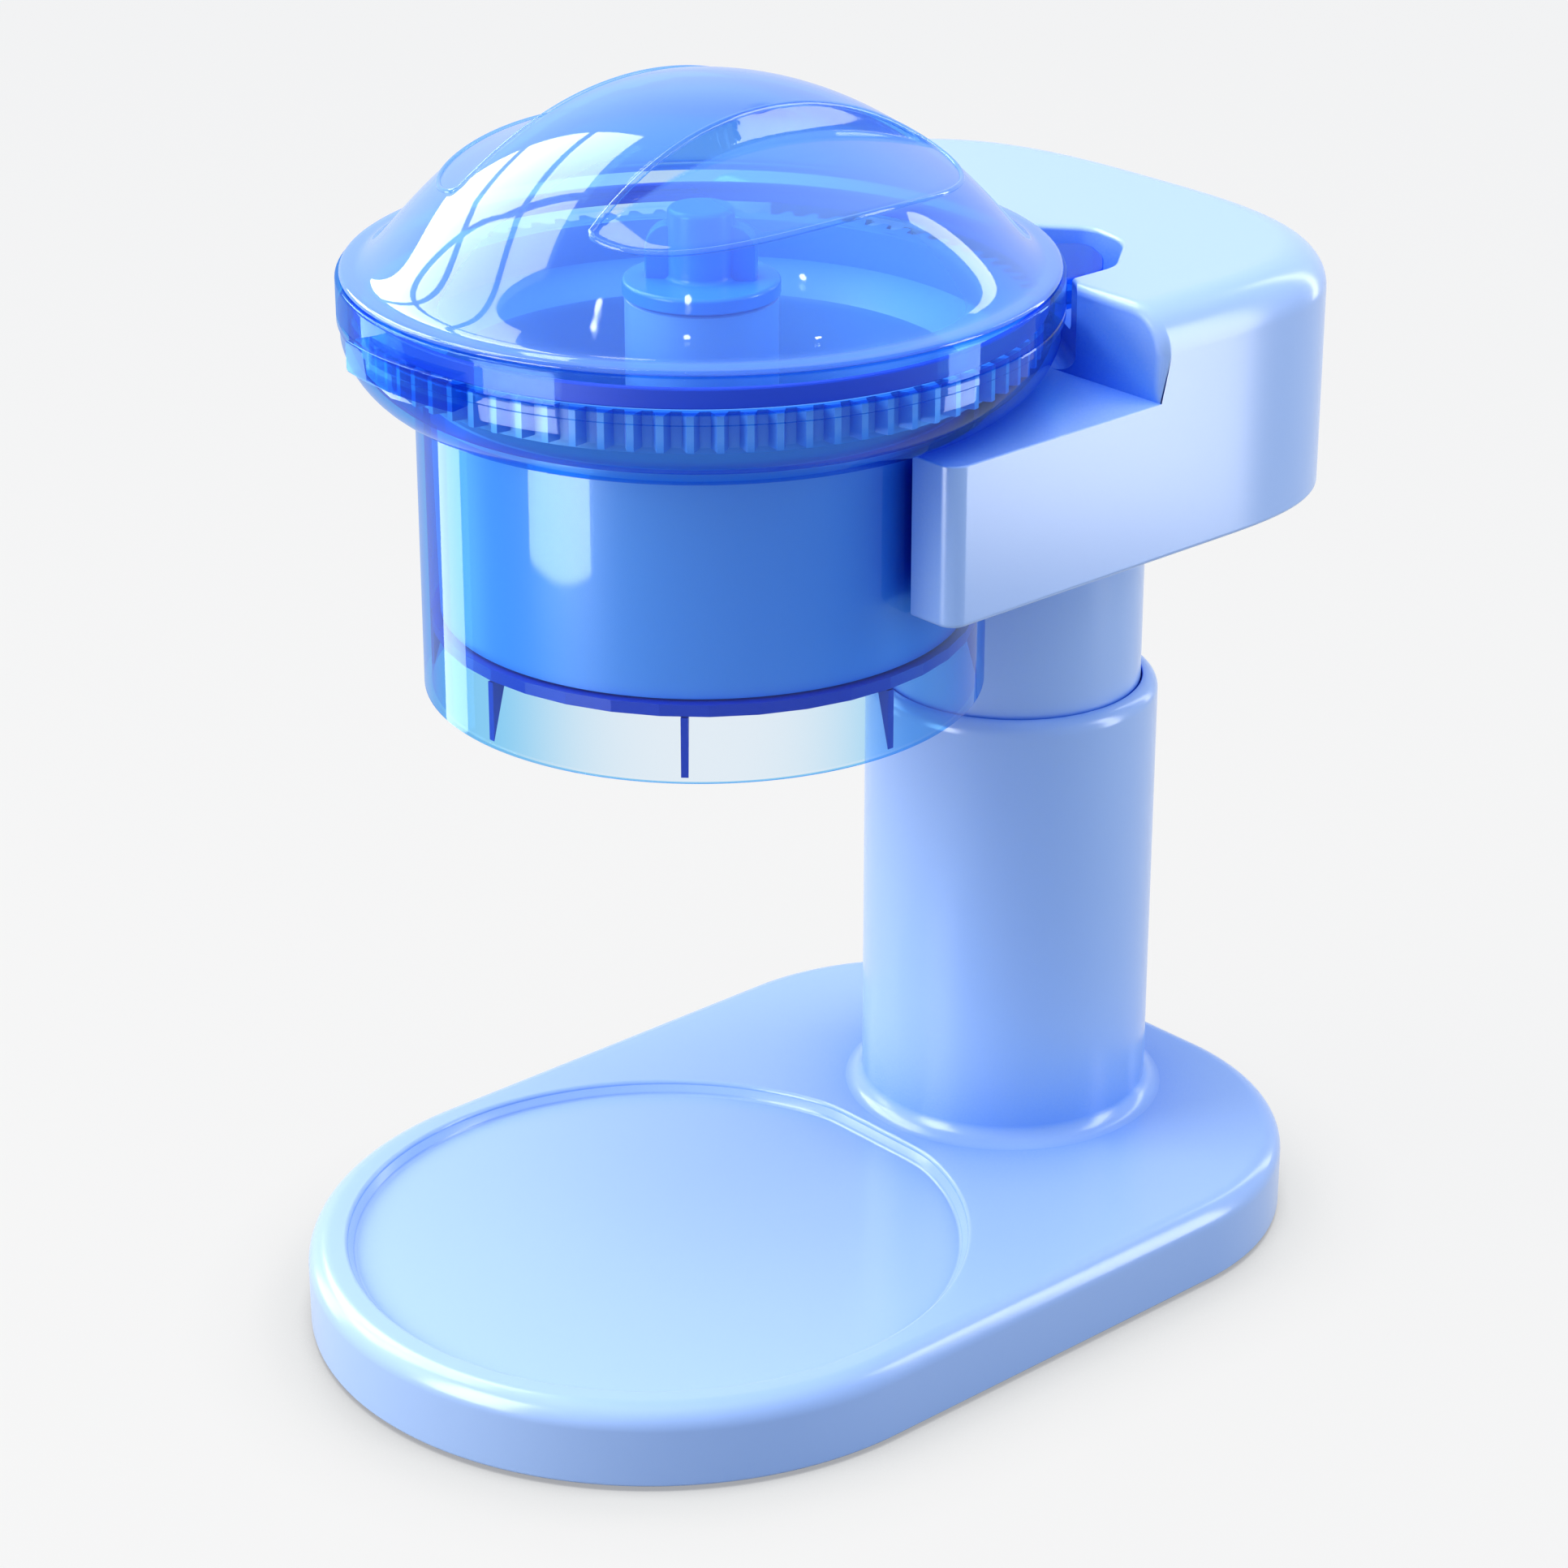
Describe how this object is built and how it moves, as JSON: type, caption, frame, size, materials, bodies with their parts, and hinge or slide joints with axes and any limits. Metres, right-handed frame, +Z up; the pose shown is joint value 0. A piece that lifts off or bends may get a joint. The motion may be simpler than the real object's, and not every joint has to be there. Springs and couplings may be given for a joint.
{
  "type": "snow cone machine",
  "caption": "Countertop ice shaver: tray base with a telescoping column, a U-shaped motor head, a clear hopper with a turning ice drum over a blade, and a clear domed lid.",
  "frame": {"origin": "middle of the machine's bounding box, on the surface that its feet stand on", "axes": "+Z up, +Y from the tray at the front to the column at the back, +X to the right of someone facing the back"},
  "size_m": [0.183, 0.276, 0.3263],
  "materials": {
    "shell": "satin moulded light blue",
    "drum_plastic": "satin moulded light blue",
    "clear_plastic": "clear blue moulded plastic",
    "knob_plastic": "satin deep blue",
    "floor_plastic": "gloss dark blue",
    "seal_rubber": "soft moulded ring",
    "foot_rubber": "matt rubber",
    "steel": "bright steel",
    "motor_steel": "plated can",
    "brass": "turned",
    "nylon": "natural nylon",
    "underside": "fine texture"
  },
  "bodies": {
    "base": {"base_shell": "shell", "base_cover": "underside", "foot_1": "foot_rubber", "foot_2": "foot_rubber", "foot_3": "foot_rubber", "foot_4": "foot_rubber", "base_screw_1": "steel", "base_screw_2": "steel", "base_screw_3": "steel", "base_screw_4": "steel", "power_socket": "underside", "sleeve_bush": "nylon"},
    "head": {"column_neck": "shell", "neck_glide_ring": "nylon", "head_shell": "shell", "head_cover": "shell", "head_screw_1": "steel", "head_screw_2": "steel", "head_screw_3": "steel", "head_screw_4": "steel", "motor": "motor_steel", "motor_bracket": "steel", "shaft_bush_upper": "brass", "shaft_bush_lower": "brass", "micro_switch": "underside"},
    "pinion_axle": {"drive_shaft": "steel", "drive_pinion": "nylon", "reduction_wheel": "nylon"},
    "motor_axle": {"motor_shaft": "steel", "motor_pinion": "brass"},
    "plunger": {"interlock_plunger": "nylon"},
    "hopper": {"clear_hopper": "clear_plastic", "blade_floor": "floor_plastic", "shaving_blade": "steel", "blade_screw_1": "steel", "blade_screw_2": "steel", "pivot_pin": "steel"},
    "rotor": {"ice_drum": "drum_plastic", "ring_gear": "drum_plastic", "ice_pusher": "drum_plastic", "pusher_bush": "brass", "lift_knob": "knob_plastic"},
    "lid": {"lid_dome": "clear_plastic", "lid_band": "clear_plastic", "lid_seal": "seal_rubber"}
  },
  "joints": [
    {"name": "head_slide", "type": "slide", "parent": "base", "child": "head", "axis": [0, 0, 1], "range_m": [-0.028, 0]},
    {"name": "hopper_lift", "type": "slide", "parent": "head", "child": "hopper", "axis": [0, 0, 1], "range_m": [0, 0.09]},
    {"name": "lid_lift", "type": "slide", "parent": "hopper", "child": "lid", "axis": [0, 0, 1], "range_m": [0, 0.08]},
    {"name": "drum_spin", "type": "hinge", "parent": "hopper", "child": "rotor", "pos_m": [0, -0.0289, 0.2], "axis": [0, 0, 1], "continuous": true},
    {"name": "pinion_spin", "type": "hinge", "parent": "head", "child": "pinion_axle", "pos_m": [-0.02275, 0.06233, 0.24], "axis": [0, 0, 1], "continuous": true},
    {"name": "motor_spin", "type": "hinge", "parent": "head", "child": "motor_axle", "pos_m": [-0.01148, 0.08352, 0.22], "axis": [0, 0, 1], "continuous": true},
    {"name": "plunger_press", "type": "slide", "parent": "head", "child": "plunger", "axis": [0, 0, 1], "range_m": [-0.002, 0], "stiffness_N_per_m": 250, "springref_m": 0.001}
  ],
  "couplings": [
    {"joint": "pinion_spin", "follows": "drum_spin", "ratio": -6.3333},
    {"joint": "motor_spin", "follows": "drum_spin", "ratio": 19}
  ]
}
